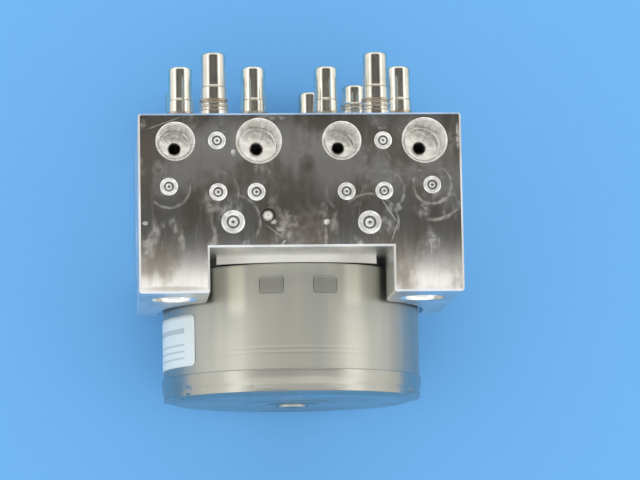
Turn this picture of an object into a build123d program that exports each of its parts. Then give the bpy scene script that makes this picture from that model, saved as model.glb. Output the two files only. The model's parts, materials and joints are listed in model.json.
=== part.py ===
"""Hydraulic unit of an anti-lock brake system: valve block, pump motor, pump and valve cartridges.

The block stands on its rear face with the pipe ports on top.  X is its width, +Y points out of the
face that carries the valve cartridges, and the pump motor hangs on the opposite face, towards -Y.
Z = 0 is the rear face, and the origin is that face's centre.  All sizes are millimetres.
"""
from build123d import *

import os
from math import cos, radians, sin, sqrt

# ---------------------------------------------------------------- driving dimensions
# Valve block
BLOCK_WIDTH = 96.0
BODY_THICKNESS = 40.0
BLOCK_HEIGHT = 98.4
LEG_DROP = 13.5            # how far the two legs reach past the motor face
LEG_GAP = 54.4             # clear width between the legs at the port face
LEG_HEIGHT = 64.0          # measured down from the port face
EDGE_BREAK = 0.6

# Pump motor: can, end cap and flange
POCKET_R = 41.6            # room milled round the motor in the legs
CAN_R = 40.0
CAN_WALL = 2.0
BAND_R = 40.4              # end cap pressed over the can
WINDOW_X = (4.5, 11.8)     # pressed window each side of the can's middle
WINDOW_Y = (-31.6, -26.4)
LABEL_Y = (-53.4, -36.2)
LABEL_ARC = (50.5, 114.0)  # degrees from the top of the can, towards the left
LABEL_T = 0.25
FLANGE_T = 2.2
FLANGE_R = 38.1
FLANGE_TAB_X = 24.3        # half width of the tab between the legs
FLANGE_TAB_R = 60.0
HUB_FRONT = -15.2          # end of the hub that centres the motor in the block
CAN_SEAM = 0.4             # open seam between flange and can
MOTOR_LENGTH = 42.2        # motor face of the block to the flat of the end cap
CAP_DEPTH = 7.8
CAP_PLATE = 2.0
CAP_CORNER = 3.2
BOSS_R = 15.0
BOSS_RISE = 1.2
BOSS_WALL = 0.8            # steel left under the rear bearing

# Inside the motor
BEARING_R = 9.5
REAR_BEARING_R = 8.0
BEARING_WIDTH = 5.0
FRONT_BEARING_START = -20.2
PLATE_T = 3.0
BRUSH = (8.0, 5.0, 9.0)    # tangential, axial, radial
BRUSH_BOX_WALL = 1.4
BRUSH_SPRING_ROOM = 3.6    # behind a new brush
COMMUTATOR_R = 10.5
COMMUTATOR = (-31.2, -25.6)
CORE = (-52.0, -36.0)
CORE_R = 29.6
SLOTS = 10
SLOT_WIDTH = 4.2
SLOT_FLOOR_R = 17.5
MAGNET_R = 31.0
MAGNET_OVERHANG = 1.5      # how far the magnets reach past the core at each end

# Pipe ports: thread radius, mouth radius
PORT_SMALL = (5.0, 5.85)
PORT_LARGE = (6.0, 6.85)
PORT_X = 37.0              # outer pair
PORT_INNER_X = 12.3        # inner pair
PORT_INSET = 8.4           # port axes below the cartridge face
PORT_THREAD = 11.0
PORT_DRILL_R = 1.55
LEG_PORT_X = 37.4
LEG_PORT_DEPTH = 18.0      # below the port face

# Valve cartridges
COLLAR_R = 4.45
COLLAR_HEIGHT = 7.9
SLEEVE_R = 3.95
SLEEVE_HEIGHT = 12.6
DOME_R = 3.75
DOME_HEIGHT = 22.1
DOME_EDGE = 0.9
TALL_COLLAR_HEIGHT = 11.6
TALL_SLEEVE_HEIGHT = 14.8
TALL_DOME_HEIGHT = 20.9
VALVE_EMBED = 16.0

# Pump
PUMP_Y = -9.0
SHAFT_R = 4.0
JOURNAL_R = 3.0
ECCENTRIC_R = 6.5
ECCENTRIC_THROW = 1.5
RING_R = 9.5
CHAMBER_R = 13.0
PLUNGER_R = 5.0
PLUNGER_LENGTH = 20.0
PLUNGER_NECK = 4.0
PLUG_R = 8.0
PLUG_SEAT_X = 42.0
PLUG_SPIGOT = 5.0
SEAL_T = 1.0
SEAL_FRONT = -14.1
RUNNING_GAP = 0.03         # radial play of every turning or sliding fit

# Low-pressure accumulators
ACCUMULATOR_X = 24.0
ACCUMULATOR_R = 8.0
ACCUMULATOR_DEPTH = 26.0
PISTON_GAP = 0.1
PISTON_CROWN = 2.5
CAP_BASE = 0.4             # accumulator cap, recessed in the rear face
CAP_TOP = 3.4

# ---------------------------------------------------------------- places worked out from them
MOTOR_Z = BAND_R           # the end cap's band touches the bench that the block stands on
CARTRIDGE_FACE = BODY_THICKNESS / 2
MOTOR_FACE = -BODY_THICKNESS / 2
LEG_END = MOTOR_FACE - LEG_DROP
FLANGE_BACK = MOTOR_FACE - FLANGE_T
CAN_TOP = FLANGE_BACK - CAN_SEAM
CAP_FLAT = MOTOR_FACE - MOTOR_LENGTH
CAP_INSIDE = CAP_FLAT + CAP_PLATE
CAN_BORE_R = CAN_R - CAN_WALL
REAR_BEARING_START = CAP_FLAT - BOSS_RISE + BOSS_WALL
REAR_BEARING_END = REAR_BEARING_START + BEARING_WIDTH
POST_TOP = CARTRIDGE_FACE + 1.5
PORT_Y = CARTRIDGE_FACE - PORT_INSET
CHAMBER_FLOOR = -1.5
BUSH_FLOOR = 4.0
BUSH_R = 6.0
AXIS_POINT = (0, 0, MOTOR_Z)
PLUNGER_INNER_X = RING_R + ECCENTRIC_THROW + 0.1    # clear of the ring at its outer dead centre

SCREW_CIRCLE_R = 46.7
SCREW_ANGLE = -30.0        # below the horizontal, seen along the shaft
SCREW_X = SCREW_CIRCLE_R * cos(radians(SCREW_ANGLE))
SCREW_Z = MOTOR_Z + SCREW_CIRCLE_R * sin(radians(SCREW_ANGLE))
SCREW_R = 2.5
SCREW_DEPTH = 14.0
EAR_R = 6.0

TERMINAL_Z = MOTOR_Z + 30.0   # post that carries the motor leads through the block
TERMINAL_R = 4.9

CONTROLLER_X = 43.0
CONTROLLER_Z = (18.0, 80.0)
CONTROLLER_TAP_R = 1.65
CONTROLLER_TAP_DEPTH = 10.0
BRACKET_X = 42.0
BRACKET_TAP_R = 2.5
BRACKET_TAP_DEPTH = 10.0

# Rows of valve cartridges, by height above the rear face
ROW_ISOLATING = BLOCK_HEIGHT - 22.0
ROW_INLET = BLOCK_HEIGHT - 45.0
ROW_PRIMING = BLOCK_HEIGHT - 71.0
ROW_OUTLET = BLOCK_HEIGHT - 90.0
ISOLATING_X = 24.7
PRIMING_X = 22.5
INLET_INNER_X = 11.4
OUTLET_INNER_X = 9.4
OUTER_X = 34.2

# Drilled passages that a plug closes on the port face: (x, distance below the cartridge face, depth)
PASSAGE_R = 1.5
SMALL_PLUG_R = 2.65
LARGE_PLUG_R = 3.5
PLUG_DEPTH = 4.5
SMALL_PLUGS = [
    (-24.7, 8.2, 18.0), (24.6, 8.4, 18.0),        # down to the isolating valves
    (-39.0, 21.9, 20.0), (39.0, 21.8, 20.0),      # down to the ports in the legs
    (-24.5, 23.6, 56.0), (24.7, 23.5, 56.0),      # down to the plunger bores
    (-13.2, 23.6, 30.0), (13.5, 23.6, 30.0),
]
LARGE_PLUGS = [(-20.2, 32.5, 30.0), (20.2, 32.9, 30.0)]
BALL_HOLE = (-9.8, 30.6, 25.0)
BALL_HOLE_R = 2.1
BALL_R = 2.0
BALL_DEPTH = 4.4

UP = (0, 0, 1)
DOWN = (0, 0, -1)
OUT = (0, 1, 0)            # out of the cartridge face
BACK = (0, -1, 0)          # out of the motor face


# ---------------------------------------------------------------- helpers
def turned(profile, at, along, rounds=()):
    """Solid turned from a closed outline of (radius, distance along the axis) points.

    rounds lists the corners to round, as (radius, distance, corner radius).
    """
    across = (1, 0, 0) if along[0] == 0 else (0, 1, 0)
    outline = Plane.XZ * make_face(Polyline(*profile, close=True))
    for x, z, radius in rounds:
        corner = outline.vertices().sort_by_distance((x, 0, z))[0]
        outline = fillet(corner, radius)
    place = Plane(origin=at, x_dir=across, z_dir=along)
    return place.location * revolve(outline, Axis.Z)


def rod(radius, at, along, length):
    """Plain round bar or drill that starts at a point."""
    return turned([(0, 0), (radius, 0), (radius, length), (0, length)], at, along)


def ring(inner, outer, at, along, length):
    """Plain round ring that starts at a point."""
    return turned([(inner, 0), (outer, 0), (outer, length), (inner, length)], at, along)


def on_shaft(y):
    """Point of the motor axis at a given Y."""
    return (0, y, MOTOR_Z)


def block(x, y, z):
    """Box between two limits on each axis."""
    size = [high - low for low, high in (x, y, z)]
    centre = [(high + low) / 2 for low, high in (x, y, z)]
    return Pos(*centre) * Box(*size)


# ---------------------------------------------------------------- valve block
def port_cutter(sizes, at, along, drill):
    """Pipe port: chamfered mouth, tapping bore, conical seat and the drilled passage behind it."""
    bore, mouth = sizes
    chamfer = mouth - bore
    seat = PORT_THREAD + (bore - PORT_DRILL_R)
    profile = [
        (0, 1), (mouth + 1, 1), (bore, -chamfer), (bore, -PORT_THREAD),
        (PORT_DRILL_R, -seat), (PORT_DRILL_R, -drill), (0, -drill),
    ]
    return turned(profile, at, along)


def block_blank():
    """Body and two legs, milled out round the motor, with the long edges broken."""
    half = BLOCK_WIDTH / 2
    body = block((-half, half), (MOTOR_FACE, CARTRIDGE_FACE), (0, BLOCK_HEIGHT))
    for side in (-1, 1):
        inner, outer = sorted((side * LEG_GAP / 2, side * half))
        leg_foot = BLOCK_HEIGHT - LEG_HEIGHT
        body += block((inner, outer), (LEG_END, MOTOR_FACE), (leg_foot, BLOCK_HEIGHT))
    upright = [
        edge for edge in body.edges().filter_by(Axis.Z)
        if abs(abs(edge.center().X) - half) < 0.01 or abs(edge.center().Y - LEG_END) < 0.01
    ]
    body = chamfer(upright, EDGE_BREAK)
    body = chamfer(body.faces().sort_by(Axis.Z)[-1].outer_wire().edges(), EDGE_BREAK)
    pocket = rod(POCKET_R, on_shaft(MOTOR_FACE), BACK, LEG_DROP + 1)
    return body - pocket


def cartridge_places():
    """Name of each valve cartridge, its X and Z, and whether it is of the tall-collared kind."""
    places = {}
    for side, sign in (("left", -1), ("right", 1)):
        places[f"isolating_valve_{side}"] = (sign * ISOLATING_X, ROW_ISOLATING, False)
        places[f"priming_valve_{side}"] = (sign * PRIMING_X, ROW_PRIMING, True)
        for duty, height, inner_x in (
            ("inlet", ROW_INLET, INLET_INNER_X), ("outlet", ROW_OUTLET, OUTLET_INNER_X),
        ):
            places[f"{duty}_valve_{side}_inner"] = (sign * inner_x, height, False)
            places[f"{duty}_valve_{side}_outer"] = (sign * OUTER_X, height, False)
    return places


def valve_block():
    """Machined aluminium block with every bore that its pieces sit in."""
    body = block_blank()
    cuts = []
    reach = BLOCK_HEIGHT - ROW_INLET - 2
    for x, sizes in (
        (-PORT_X, PORT_SMALL), (-PORT_INNER_X, PORT_LARGE),
        (PORT_INNER_X, PORT_SMALL), (PORT_X, PORT_LARGE),
    ):
        cuts.append(port_cutter(sizes, (x, PORT_Y, BLOCK_HEIGHT), UP, reach))
    for side in (-1, 1):
        mouth = (side * LEG_PORT_X, LEG_END, BLOCK_HEIGHT - LEG_PORT_DEPTH)
        cuts.append(port_cutter(PORT_LARGE, mouth, BACK, LEG_DROP + BODY_THICKNESS / 2))
    for x, z, tall in cartridge_places().values():
        cuts.append(rod(COLLAR_R, (x, CARTRIDGE_FACE - VALVE_EMBED, z), OUT, VALVE_EMBED + 1))
    for places, radius, seat in (
        (SMALL_PLUGS, SMALL_PLUG_R, PLUG_DEPTH),
        (LARGE_PLUGS, LARGE_PLUG_R, PLUG_DEPTH),
        ([BALL_HOLE], BALL_HOLE_R, BALL_DEPTH),
    ):
        for x, drop, depth in places:
            mouth = (x, CARTRIDGE_FACE - drop, BLOCK_HEIGHT + 1)
            cuts.append(rod(radius, mouth, DOWN, seat + 1))
            cuts.append(rod(PASSAGE_R, mouth, DOWN, depth + 1))

    # Pump: eccentric chamber with the seat of the shaft's end bush, and a plunger bore each side
    cuts.append(rod(CHAMBER_R, on_shaft(MOTOR_FACE - 1), OUT, CHAMBER_FLOOR - MOTOR_FACE + 1))
    cuts.append(rod(BUSH_R, on_shaft(CHAMBER_FLOOR - 1), OUT, BUSH_FLOOR - CHAMBER_FLOOR + 1))
    for side in (-1, 1):
        outward = (side, 0, 0)
        cuts.append(rod(PLUNGER_R, (0, PUMP_Y, MOTOR_Z), outward, BLOCK_WIDTH / 2))
        seat = (side * PLUG_SEAT_X, PUMP_Y, MOTOR_Z)
        cuts.append(rod(PLUG_R, seat, outward, BLOCK_WIDTH / 2))
        foot = (side * ACCUMULATOR_X, PUMP_Y, -1)
        cuts.append(rod(ACCUMULATOR_R, foot, UP, ACCUMULATOR_DEPTH + 1))
        cuts.append(rod(SCREW_R, (side * SCREW_X, MOTOR_FACE - 1, SCREW_Z), OUT, SCREW_DEPTH + 1))
        cuts.append(rod(BRACKET_TAP_R, (side * BRACKET_X, PUMP_Y, -1), UP, BRACKET_TAP_DEPTH + 1))
        for z in CONTROLLER_Z:
            mouth = (side * CONTROLLER_X, CARTRIDGE_FACE + 1, z)
            cuts.append(rod(CONTROLLER_TAP_R, mouth, BACK, CONTROLLER_TAP_DEPTH + 1))
    through = (0, MOTOR_FACE - 1, TERMINAL_Z)
    cuts.append(rod(TERMINAL_R, through, OUT, BODY_THICKNESS + 2))
    return body - cuts


def sealing_plug(radius, x, drop):
    """Expander plug: a short cup whose middle is driven in, so that its rim bites into the bore."""
    profile = [(0, -PLUG_DEPTH), (radius, -PLUG_DEPTH), (radius, 0.2), (0.62 * radius, 0.2), (0, -1.1)]
    return turned(profile, (x, CARTRIDGE_FACE - drop, BLOCK_HEIGHT), UP)


def sealing_plugs(radius, places):
    """All plugs of one size."""
    return Compound(children=[sealing_plug(radius, x, drop) for x, drop, _ in places])


def passage_ball():
    """Steel ball pressed into the one passage that has no plug."""
    x, drop, _ = BALL_HOLE
    return Pos(x, CARTRIDGE_FACE - drop, BLOCK_HEIGHT - BALL_DEPTH + BALL_R) * Sphere(BALL_R)


# ---------------------------------------------------------------- valve cartridges
def valve_cartridge(x, z, tall):
    """Staked collar, sleeve and the closed steel dome over the valve's armature."""
    collar = TALL_COLLAR_HEIGHT if tall else COLLAR_HEIGHT
    sleeve = TALL_SLEEVE_HEIGHT if tall else SLEEVE_HEIGHT
    top = TALL_DOME_HEIGHT if tall else DOME_HEIGHT
    profile = [
        (0, -VALVE_EMBED), (COLLAR_R, -VALVE_EMBED), (COLLAR_R, collar), (SLEEVE_R, collar),
        (SLEEVE_R, sleeve), (DOME_R, sleeve), (DOME_R, top), (0, top),
    ]
    return turned(profile, (x, CARTRIDGE_FACE, z), OUT, [(DOME_R, top, DOME_EDGE)])


# ---------------------------------------------------------------- pump and accumulators
def pump_plunger(side):
    """Plunger at the outer end of its stroke, with the neck that its return spring sits on."""
    radius = PLUNGER_R - RUNNING_GAP
    neck = radius - 1.6
    body = PLUNGER_LENGTH - PLUNGER_NECK
    profile = [
        (0, 0), (radius, 0), (radius, body), (neck, body), (neck, PLUNGER_LENGTH), (0, PLUNGER_LENGTH),
    ]
    return turned(profile, (side * PLUNGER_INNER_X, PUMP_Y, MOTOR_Z), (side, 0, 0))


def pump_plug(side):
    """Screwed-in end plug of a plunger bore, flush with the block's side."""
    head = BLOCK_WIDTH / 2 - PLUG_SEAT_X
    profile = [
        (0, -PLUG_SPIGOT), (PLUNGER_R, -PLUG_SPIGOT), (PLUNGER_R, 0), (PLUG_R, 0),
        (PLUG_R, head), (0.55 * PLUG_R, head), (0.4 * PLUG_R, head - 2), (0, head - 2),
    ]
    return turned(profile, (side * PLUG_SEAT_X, PUMP_Y, MOTOR_Z), (side, 0, 0))


def eccentric():
    """Eccentric disc keyed on the shaft; its throw points up at rest."""
    width = 9.0
    start = PUMP_Y - width / 2
    disc = rod(ECCENTRIC_R, (0, start, MOTOR_Z + ECCENTRIC_THROW), OUT, width)
    return disc - rod(SHAFT_R, on_shaft(start - 1), OUT, width + 2)


def eccentric_ring():
    """Outer ring of the eccentric's bearing, which the plungers run on."""
    width = 8.6
    start = (0, PUMP_Y - width / 2, MOTOR_Z + ECCENTRIC_THROW)
    return ring(ECCENTRIC_R + RUNNING_GAP, RING_R, start, OUT, width)


def accumulator_piston(side):
    """Cup piston at the closed end of its bore, open towards its spring."""
    radius = ACCUMULATOR_R - RUNNING_GAP
    length, wall = 9.0, 1.5
    profile = [
        (0, 0), (radius, 0), (radius, -length), (radius - wall, -length),
        (radius - wall, -PISTON_CROWN), (0, -PISTON_CROWN),
    ]
    return turned(profile, (side * ACCUMULATOR_X, PUMP_Y, ACCUMULATOR_DEPTH - PISTON_GAP), UP)


def accumulator_cap(side):
    """Dished cap staked into the mouth of an accumulator bore."""
    dish = CAP_BASE + 1.2
    profile = [
        (0, dish), (5.0, dish), (6.4, CAP_BASE), (ACCUMULATOR_R, CAP_BASE),
        (ACCUMULATOR_R, CAP_TOP), (0, CAP_TOP),
    ]
    return turned(profile, (side * ACCUMULATOR_X, PUMP_Y, 0), UP)


def coil_spring(mean_r, wire, turns, at, along, length):
    """Compression spring of square wire that fills a length of its bore."""
    rise = length - wire
    helix = Helix(pitch=rise / turns, height=rise, radius=mean_r)
    section = Plane(origin=helix @ 0, x_dir=(1, 0, 0), z_dir=helix % 0) * Rectangle(wire, wire)
    coil = sweep(section, path=helix, is_frenet=True)
    across = (1, 0, 0) if along[0] == 0 else (0, 1, 0)
    return Plane(origin=at, x_dir=across, z_dir=along).location * Pos(0, 0, wire / 2) * coil


def pump_spring(side):
    """Return spring between a plunger's shoulder and its plug, pressed home at outer dead centre."""
    shoulder = PLUNGER_INNER_X + PLUNGER_LENGTH - PLUNGER_NECK
    room = PLUG_SEAT_X - PLUG_SPIGOT - shoulder
    start = (side * (shoulder + 0.1), PUMP_Y, MOTOR_Z)
    return coil_spring(4.2, 0.9, 3.5, start, (side, 0, 0), room - 0.2)


def accumulator_spring(side):
    """Light spring that holds an accumulator piston at the closed end of its bore."""
    top = ACCUMULATOR_DEPTH - PISTON_GAP - PISTON_CROWN
    room = top - CAP_TOP
    start = (side * ACCUMULATOR_X, PUMP_Y, CAP_TOP + 0.1)
    return coil_spring(4.6, 1.2, 4, start, UP, room - 0.2)


# ---------------------------------------------------------------- pump motor
def flange_outline():
    """Round flange with a nearly straight front tab between the legs and two screw ears."""
    front = MOTOR_Z + FLANGE_R
    tab = Pos(0, front - FLANGE_TAB_R) * Circle(FLANGE_TAB_R)
    tab &= Pos(0, MOTOR_Z + FLANGE_R / 2) * Rectangle(2 * FLANGE_TAB_X, FLANGE_R + 4)
    outline = Pos(0, MOTOR_Z) * Circle(FLANGE_R) + tab
    for side in (-1, 1):
        outline += Pos(side * SCREW_X, SCREW_Z) * Circle(EAR_R)
        web = Rectangle(SCREW_CIRCLE_R, 2 * EAR_R)
        turn = SCREW_ANGLE if side > 0 else 180 - SCREW_ANGLE
        outline += Pos(side * SCREW_X / 2, (SCREW_Z + MOTOR_Z) / 2) * Rot(0, 0, turn) * web
        outline -= Pos(side * SCREW_X, SCREW_Z) * Circle(SCREW_R)
    return outline


def motor_flange():
    """Steel mounting flange with the hub that centres the motor in the block."""
    # The outline is drawn with X across and Y as height, then stood up on the motor face
    face = Plane(origin=(0, FLANGE_BACK, 0), x_dir=(1, 0, 0), z_dir=BACK) * flange_outline()
    plate = extrude(face, FLANGE_T, dir=OUT)
    plate -= rod(TERMINAL_R, (0, FLANGE_BACK - 1, TERMINAL_Z), OUT, FLANGE_T + 2)
    hub = ring(BEARING_R, CHAMBER_R, on_shaft(MOTOR_FACE), OUT, HUB_FRONT - MOTOR_FACE)
    return plate - rod(BEARING_R, on_shaft(FLANGE_BACK - 1), OUT, FLANGE_T + 2) + hub


def motor_can():
    """Drawn steel tube that closes the motor's magnetic circuit, with two stamped windows."""
    can = ring(CAN_BORE_R, CAN_R, on_shaft(CAP_INSIDE), OUT, CAN_TOP - CAP_INSIDE)
    for side in (-1, 1):
        x = sorted((side * WINDOW_X[0], side * WINDOW_X[1]))
        front = MOTOR_Z + sqrt(CAN_R**2 - WINDOW_X[1] ** 2)
        can -= block(x, WINDOW_Y, (front - 0.6, front + 4))
    return can


def motor_end_cap():
    """Cap pressed over the can's open end, with the raised boss of the rear bearing."""
    bearing_seat = BOSS_WALL - BOSS_RISE
    profile = [
        (0, -BOSS_RISE), (BOSS_R, -BOSS_RISE), (BOSS_R, 0), (BAND_R, 0), (BAND_R, CAP_DEPTH),
        (CAN_R, CAP_DEPTH), (CAN_R, CAP_PLATE), (REAR_BEARING_R, CAP_PLATE),
        (REAR_BEARING_R, bearing_seat), (0, bearing_seat),
    ]
    return turned(profile, on_shaft(CAP_FLAT), OUT, [(BAND_R, 0, CAP_CORNER), (BOSS_R, -BOSS_RISE, 1.0)])


def motor_shaft():
    """Shaft with a journal at each end."""
    rear, front = REAR_BEARING_START + 0.4, BUSH_FLOOR - 0.5
    step_rear, step_front = REAR_BEARING_END + 0.3, PUMP_Y + 4.6
    profile = [
        (0, rear), (JOURNAL_R, rear), (JOURNAL_R, step_rear), (SHAFT_R, step_rear),
        (SHAFT_R, step_front), (JOURNAL_R, step_front), (JOURNAL_R, front), (0, front),
    ]
    return turned(profile, AXIS_POINT, OUT)


def slot_bars(width, floor_r, top_r, span):
    """One radial bar for each slot of the armature."""
    low, high = span
    bar = block((floor_r, top_r), (low, high), (-width / 2, width / 2))
    return [Pos(*AXIS_POINT) * Rot(0, i * 360 / SLOTS, 0) * bar for i in range(SLOTS)]


def armature_core():
    """Stack of laminations with open slots for the coils."""
    core = ring(SHAFT_R, CORE_R, on_shaft(CORE[0]), OUT, CORE[1] - CORE[0])
    return core - slot_bars(SLOT_WIDTH, SLOT_FLOOR_R, CORE_R + 2, (CORE[0] - 1, CORE[1] + 1))


def armature_winding():
    """Coils: the part that fills the slots and the two overhangs that join it."""
    overhang = 4.0
    coils = ring(SLOT_FLOOR_R - 3, CORE_R - 3, on_shaft(CORE[0] - overhang), OUT, overhang)
    coils += ring(SLOT_FLOOR_R - 3, CORE_R - 3, on_shaft(CORE[1]), OUT, overhang)
    return coils + slot_bars(SLOT_WIDTH, SLOT_FLOOR_R, CORE_R - 1.5, CORE)


def field_magnets():
    """Four curved magnets glued inside the can."""
    low, high = CORE[0] - MAGNET_OVERHANG, CORE[1] + MAGNET_OVERHANG
    shell = ring(MAGNET_R, CAN_BORE_R, on_shaft(low), OUT, high - low)
    gap = block((-CAN_R, CAN_R), (low - 1, high + 1), (-5, 5))
    for turn in (45, 135):
        shell -= Pos(*AXIS_POINT) * Rot(0, turn, 0) * gap
    return shell


def brush_plate():
    """Moulded plate with a box for each brush and the post of the motor leads."""
    tangential, axial, radial = BRUSH
    face = FLANGE_BACK - PLATE_T
    plate = ring(CHAMBER_R, CAN_BORE_R, on_shaft(face), OUT, PLATE_T)
    half = tangential / 2 + RUNNING_GAP
    box_end = COMMUTATOR_R + radial + BRUSH_SPRING_ROOM
    for side in (-1, 1):
        x = sorted((side * (CHAMBER_R + 0.1), side * (box_end + BRUSH_BOX_WALL)))
        z = (MOTOR_Z - half - BRUSH_BOX_WALL, MOTOR_Z + half + BRUSH_BOX_WALL)
        plate += block(x, (face - axial - BRUSH_BOX_WALL, face), z)
        channel = sorted((side * COMMUTATOR_R, side * box_end))
        plate -= block(channel, (face - axial - RUNNING_GAP, face), (MOTOR_Z - half, MOTOR_Z + half))
    post = (0, FLANGE_BACK, TERMINAL_Z)
    return plate + rod(TERMINAL_R, post, OUT, POST_TOP - FLANGE_BACK)


def motor_terminals():
    """Two contact blades that stand out of the post."""
    y = (POST_TOP, POST_TOP + 2.5)
    z = (TERMINAL_Z - 2, TERMINAL_Z + 2)
    return Compound(children=[block((x - 0.4, x + 0.4), y, z) for x in (-2, 2)])


def brush(side):
    """Carbon brush, its end ground to the commutator."""
    tangential, axial, radial = BRUSH
    face = FLANGE_BACK - PLATE_T
    x = sorted((side * (COMMUTATOR_R - 1), side * (COMMUTATOR_R + radial)))
    z = (MOTOR_Z - tangential / 2, MOTOR_Z + tangential / 2)
    bar = block(x, (face - axial, face - RUNNING_GAP), z)
    return bar - rod(COMMUTATOR_R + 0.05, on_shaft(face - axial - 1), OUT, axial + 2)


def motor_screws():
    """The two screws that hold the flange to the block."""
    head_r, head = 4.25, 4.0
    screws = []
    for side in (-1, 1):
        profile = [
            (0, -SCREW_DEPTH + 0.5), (SCREW_R, -SCREW_DEPTH + 0.5), (SCREW_R, FLANGE_T),
            (head_r, FLANGE_T), (head_r, FLANGE_T + head), (0, FLANGE_T + head),
        ]
        screws.append(turned(profile, (side * SCREW_X, MOTOR_FACE, SCREW_Z), BACK))
    return Compound(children=screws)


def motor_label():
    """Paper label round the can's left side."""
    low, high = LABEL_Y
    start, end = LABEL_ARC
    shell = ring(CAN_R, CAN_R + LABEL_T, on_shaft(low), OUT, high - low)
    reach = 1.5 * CAN_R
    sector = [(0, 0)]
    for angle in (start, (start + end) / 2, end):
        sector.append((-reach * sin(radians(angle)), reach * cos(radians(angle))))
    across = Plane(origin=on_shaft(low - 1), x_dir=(1, 0, 0), z_dir=BACK)
    wedge = across * make_face(Polyline(*sector, close=True))
    return shell & extrude(wedge, high - low + 2, dir=OUT)


# ---------------------------------------------------------------- every node and its file
def shaft_fittings():
    """Plain rings on the shaft: bearings, bush, seal and commutator."""
    bearing = SHAFT_R + RUNNING_GAP
    journal = JOURNAL_R + RUNNING_GAP
    rings = {
        "commutator": (SHAFT_R, COMMUTATOR_R, COMMUTATOR[0], COMMUTATOR[1]),
        "front_bearing": (bearing, BEARING_R, FRONT_BEARING_START, FRONT_BEARING_START + BEARING_WIDTH),
        "rear_bearing": (journal, REAR_BEARING_R, REAR_BEARING_START, REAR_BEARING_END),
        "shaft_bush": (journal, BUSH_R, CHAMBER_FLOOR, BUSH_FLOOR),
        "shaft_seal": (bearing, CHAMBER_R, SEAL_FRONT - SEAL_T, SEAL_FRONT),
    }
    return {
        name: ring(inner, outer, on_shaft(start), OUT, end - start)
        for name, (inner, outer, start, end) in rings.items()
    }


def nodes():
    """Each separate piece of the unit by name."""
    pieces = {
        "valve_block": valve_block(),
        "passage_plugs_small": sealing_plugs(SMALL_PLUG_R, SMALL_PLUGS),
        "passage_plugs_large": sealing_plugs(LARGE_PLUG_R, LARGE_PLUGS),
        "passage_ball": passage_ball(),
        "motor_flange": motor_flange(),
        "motor_can": motor_can(),
        "motor_end_cap": motor_end_cap(),
        "motor_label": motor_label(),
        "motor_screws": motor_screws(),
        "field_magnets": field_magnets(),
        "brush_plate": brush_plate(),
        "motor_terminals": motor_terminals(),
        "motor_shaft": motor_shaft(),
        "armature_core": armature_core(),
        "armature_winding": armature_winding(),
        "eccentric": eccentric(),
        "eccentric_ring": eccentric_ring(),
        **shaft_fittings(),
    }
    for name, (x, z, tall) in cartridge_places().items():
        pieces[name] = valve_cartridge(x, z, tall)
    for name, side in (("left", -1), ("right", 1)):
        pieces[f"pump_plunger_{name}"] = pump_plunger(side)
        pieces[f"pump_plug_{name}"] = pump_plug(side)
        pieces[f"pump_spring_{name}"] = pump_spring(side)
        pieces[f"accumulator_piston_{name}"] = accumulator_piston(side)
        pieces[f"accumulator_cap_{name}"] = accumulator_cap(side)
        pieces[f"accumulator_spring_{name}"] = accumulator_spring(side)
        pieces[f"brush_{name}"] = brush(side)
    return pieces


os.makedirs("parts", exist_ok=True)
for node, shape in nodes().items():
    export_step(shape, f"parts/{node}.step")
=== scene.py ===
# %% [markdown]
# # Hydraulic unit of an anti-lock brake system
#
# The real unit is a block of drawn aluminium, milled and drilled all over, with a small electric
# motor screwed to one face and twelve solenoid valves pressed into the opposite one. The solids
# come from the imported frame. This lesson gives them their finishes, and makes the pieces whose
# form is too fine for the frame: the steps of the valve domes, the pipe threads, the pressed marks
# of the motor can, the plugs and the screws.

import json
from functools import partial, reduce
from math import cos, pi, radians, sin, tau

import bpy
import numpy as np
from mathutils import Matrix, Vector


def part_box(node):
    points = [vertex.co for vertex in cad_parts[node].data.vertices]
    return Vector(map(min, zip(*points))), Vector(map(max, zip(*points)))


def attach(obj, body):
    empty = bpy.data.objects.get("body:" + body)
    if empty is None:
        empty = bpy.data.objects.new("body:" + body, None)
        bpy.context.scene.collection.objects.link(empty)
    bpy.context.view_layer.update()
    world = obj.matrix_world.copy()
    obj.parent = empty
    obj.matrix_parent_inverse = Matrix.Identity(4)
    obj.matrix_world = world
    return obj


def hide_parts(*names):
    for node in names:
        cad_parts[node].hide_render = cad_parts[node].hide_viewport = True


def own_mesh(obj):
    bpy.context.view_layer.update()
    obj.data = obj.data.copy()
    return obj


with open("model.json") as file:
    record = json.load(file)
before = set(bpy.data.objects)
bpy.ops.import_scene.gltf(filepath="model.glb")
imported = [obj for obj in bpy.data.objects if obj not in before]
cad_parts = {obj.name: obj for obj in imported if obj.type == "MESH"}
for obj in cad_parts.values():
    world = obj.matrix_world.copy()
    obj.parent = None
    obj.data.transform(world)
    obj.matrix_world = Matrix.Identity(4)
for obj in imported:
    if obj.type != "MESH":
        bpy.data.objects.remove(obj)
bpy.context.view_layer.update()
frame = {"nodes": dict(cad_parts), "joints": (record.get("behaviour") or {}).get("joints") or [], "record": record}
nodes = frame["nodes"]
scene = bpy.context.scene
MM = 0.001
print(len(nodes), "solids in the frame")

# %% [markdown]
# ## Places taken from the frame
#
# The motor, the valves and the screws are placed from the boxes of the solids they stand for.
# Places on the port face are in mm from the block's middle. The block's top is its port face, its
# +Y side the face of the valves, and its -Y side carries the motor.

# %% Places
def box(node):
    """Lowest and highest corner of a solid, as arrays."""
    low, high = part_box(node)
    return np.array(low), np.array(high)


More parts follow.
